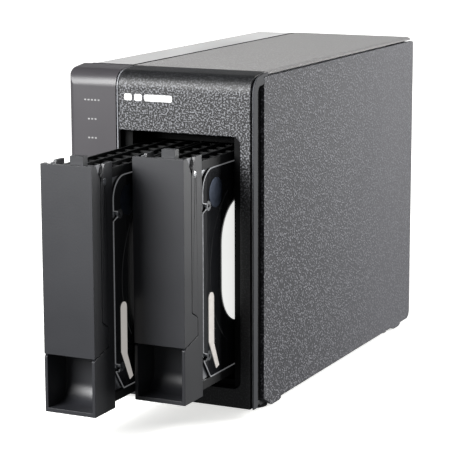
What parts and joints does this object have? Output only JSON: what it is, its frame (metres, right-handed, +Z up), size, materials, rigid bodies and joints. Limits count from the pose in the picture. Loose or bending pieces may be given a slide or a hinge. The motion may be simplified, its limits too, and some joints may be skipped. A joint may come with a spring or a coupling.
{
  "type": "network attached storage",
  "caption": "Desktop network storage box with slide-out drive trays, flip-out release levers, textured case, rear fan and connectors.",
  "frame": {"origin": "centre of the overall box, with the trays drawn out as at rest, on the plane the feet stand on", "axes": "+Z up, the front with the trays faces -Y, +X to the viewer's right when facing the front"},
  "size_m": [0.102, 0.303, 0.1685],
  "materials": {
    "bezel_plastic": "fine sandblast texture",
    "column_plastic": "satin",
    "trim_plastic": "semi-gloss",
    "side_panel": "leather-grain powder coat",
    "top_strip": "smooth satin",
    "chassis_steel": "satin powder coat",
    "bare_steel": "zinc-plated",
    "screw_steel": "nickel-plated",
    "black_plastic": "moulded",
    "tray_plastic": "fine matte",
    "button_plastic": "satin",
    "blue_plastic": "moulded",
    "clear_plastic": "clear diffusing",
    "circuit_board": "solder mask",
    "aluminium": "die-cast",
    "drive_cover": "black coated",
    "platter": "polished",
    "rubber": "matte"
  },
  "bodies": {
    "case": {"front_bezel": "bezel_plastic", "indicator_column": "column_plastic", "center_trim": "trim_plastic", "right_trim": "trim_plastic", "top_panel": "side_panel", "top_strip": "top_strip", "right_panel": "side_panel", "left_panel": "side_panel", "bottom_panel": "chassis_steel", "rear_panel": "chassis_steel", "rubber_feet": "rubber", "bay_frame": "black_plastic", "cage_left_wall": "bare_steel", "cage_right_wall": "bare_steel", "bay_rail_top": "black_plastic", "bay_rail_bottom": "black_plastic", "backplane": "circuit_board", "sata_sockets": "black_plastic", "mainboard": "circuit_board", "heat_sink": "aluminium", "memory_module": "circuit_board", "coin_cell": "bare_steel", "lan_jacks": "bare_steel", "rear_usb_ports": "bare_steel", "hdmi_port": "bare_steel", "power_inlet": "black_plastic", "fan_frame": "black_plastic", "fan_screws": "screw_steel", "case_screws": "screw_steel", "front_usb_port": "blue_plastic", "indicator_board": "circuit_board", "light_guides": "clear_plastic"},
    "left_tray": {"tray_face_left": "tray_plastic", "tray_frame_left": "black_plastic", "lever_pin_left": "screw_steel", "drive_base_left": "aluminium", "drive_cover_left": "drive_cover", "drive_board_left": "circuit_board", "drive_platters_left": "platter", "drive_actuator_left": "aluminium", "cover_screws_left": "screw_steel", "tray_screws_left": "screw_steel", "drive_connector_left": "black_plastic"},
    "left_lever": {"tray_lever_left": "tray_plastic"},
    "right_tray": {"tray_face_right": "tray_plastic", "tray_frame_right": "black_plastic", "lever_pin_right": "screw_steel", "drive_base_right": "aluminium", "drive_cover_right": "drive_cover", "drive_board_right": "circuit_board", "drive_platters_right": "platter", "drive_actuator_right": "aluminium", "cover_screws_right": "screw_steel", "tray_screws_right": "screw_steel", "drive_connector_right": "black_plastic"},
    "right_lever": {"tray_lever_right": "tray_plastic"},
    "fan": {"fan_rotor": "black_plastic"},
    "power_key": {"power_button": "button_plastic"},
    "copy_key": {"copy_button": "button_plastic"}
  },
  "joints": [
    {"name": "left_tray_slide", "type": "slide", "parent": "case", "child": "left_tray", "axis": [0, -1, 0], "range_m": [-0.085, 0.051]},
    {"name": "right_tray_slide", "type": "slide", "parent": "case", "child": "right_tray", "axis": [0, -1, 0], "range_m": [-0.05, 0.086]},
    {"name": "left_lever_hinge", "type": "hinge", "parent": "left_tray", "child": "left_lever", "pos_m": [-0.0034, -0.1398, 0.1255], "axis": [-1, 0, 0], "range_deg": [0, 35]},
    {"name": "right_lever_hinge", "type": "hinge", "parent": "right_tray", "child": "right_lever", "pos_m": [0.025, -0.1048, 0.1255], "axis": [-1, 0, 0], "range_deg": [0, 35]},
    {"name": "fan_spin", "type": "hinge", "parent": "case", "child": "fan", "pos_m": [0.0105, 0.1415, 0.095], "axis": [0, 1, 0], "continuous": true},
    {"name": "power_press", "type": "slide", "parent": "case", "child": "power_key", "axis": [0, 1, 0], "range_m": [0, 0.0012], "stiffness_N_per_m": 400},
    {"name": "copy_press", "type": "slide", "parent": "case", "child": "copy_key", "axis": [0, 1, 0], "range_m": [0, 0.0012], "stiffness_N_per_m": 400}
  ]
}
